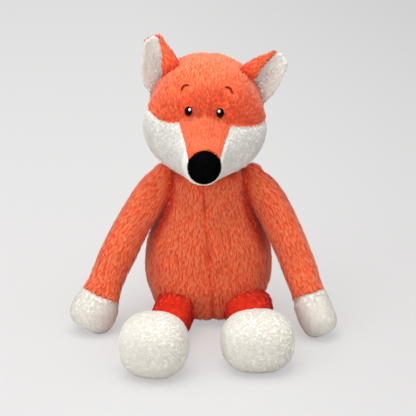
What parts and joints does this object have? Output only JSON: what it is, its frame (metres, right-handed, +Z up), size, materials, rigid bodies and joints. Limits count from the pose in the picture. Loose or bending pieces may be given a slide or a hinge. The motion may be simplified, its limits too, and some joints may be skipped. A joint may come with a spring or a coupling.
{
  "type": "plush fox",
  "caption": "Sitting plush fox in orange short-pile plush with cream paws, feet and cheeks, a black velvet nose and turning head, arms and legs.",
  "frame": {"origin": "middle of the flat seat that the body rests on", "axes": "+Z up, -Y the way the fox faces, +X the fox's own left"},
  "size_m": [0.2186, 0.3077, 0.2466],
  "materials": {
    "orange_plush": "matte",
    "light_orange_plush": "matte",
    "cream_plush": "matte",
    "black_velvet": "matte",
    "eye_thread": "satin",
    "white_thread": "satin",
    "brow_thread": "satin",
    "stuffing": "matte",
    "pellet_cloth": "matte"
  },
  "bodies": {
    "torso": {"body_front_left": "orange_plush", "body_front_right": "orange_plush", "body_back": "orange_plush", "body_stuffing": "stuffing", "seat_pellet_bag": "pellet_cloth"},
    "neck": {"neck_stuffing": "stuffing"},
    "head": {"head_crown_left": "orange_plush", "head_crown_right": "orange_plush", "muzzle_bridge": "light_orange_plush", "cheek_left": "cream_plush", "cheek_right": "cream_plush", "head_stuffing": "stuffing", "nose_cover": "black_velvet", "nose_stuffing": "stuffing", "eye_left": "eye_thread", "eye_right": "eye_thread", "eye_glint_left": "white_thread", "eye_glint_right": "white_thread", "brow_left": "brow_thread", "brow_right": "brow_thread"},
    "ear_left": {"ear_left_back": "orange_plush", "ear_left_lining": "cream_plush"},
    "arm_left": {"arm_left_sleeve": "orange_plush", "arm_left_paw": "cream_plush", "arm_left_stuffing": "stuffing"},
    "leg_left": {"leg_left_cover": "orange_plush", "foot_left_cover": "cream_plush", "leg_left_stuffing": "stuffing"},
    "ear_right": {"ear_right_back": "orange_plush", "ear_right_lining": "cream_plush"},
    "arm_right": {"arm_right_sleeve": "orange_plush", "arm_right_paw": "cream_plush", "arm_right_stuffing": "stuffing"},
    "leg_right": {"leg_right_cover": "orange_plush", "foot_right_cover": "cream_plush", "leg_right_stuffing": "stuffing"},
    "tail": {"tail_cover": "orange_plush", "tail_tip_cover": "cream_plush", "tail_stuffing": "stuffing"}
  },
  "joints": [
    {"name": "neck_turn", "type": "hinge", "parent": "torso", "child": "neck", "pos_m": [0, 0, 0.108], "axis": [0, 0, 1], "range_deg": [-22, 22], "stiffness_Nm_per_rad": 0.4},
    {"name": "neck_nod", "type": "hinge", "parent": "neck", "child": "head", "pos_m": [0, 0, 0.108], "axis": [1, 0, 0], "range_deg": [-8, 8], "stiffness_Nm_per_rad": 1.5},
    {"name": "ear_left", "type": "hinge", "parent": "head", "child": "ear_left", "pos_m": [0.03697, -0.004, 0.2091], "axis": [0.6293, 0, -0.7771], "range_deg": [-15, 15], "stiffness_Nm_per_rad": 0.01},
    {"name": "ear_right", "type": "hinge", "parent": "head", "child": "ear_right", "pos_m": [-0.03457, -0.004, 0.21571], "axis": [0.7431, 0, 0.6691], "range_deg": [-15, 15], "stiffness_Nm_per_rad": 0.01},
    {"name": "shoulder_left", "type": "hinge", "parent": "torso", "child": "arm_left", "pos_m": [0.03468, -0.003, 0.12118], "axis": [-0.9681, 0, -0.2504], "range_deg": [-30, 60]},
    {"name": "shoulder_right", "type": "hinge", "parent": "torso", "child": "arm_right", "pos_m": [-0.03449, -0.003, 0.12191], "axis": [-0.9681, 0, 0.2504], "range_deg": [-30, 60]},
    {"name": "hip_left", "type": "hinge", "parent": "torso", "child": "leg_left", "pos_m": [0.03247, -0.031, 0.003], "axis": [1, 0, 0], "range_deg": [0, 80]},
    {"name": "hip_right", "type": "hinge", "parent": "torso", "child": "leg_right", "pos_m": [-0.02702, -0.031, 0.003], "axis": [1, 0, 0], "range_deg": [0, 80]},
    {"name": "tail_swing", "type": "hinge", "parent": "torso", "child": "tail", "pos_m": [0, 0.04259, 0.016], "axis": [1, 0, 0], "range_deg": [-40, 45]}
  ]
}
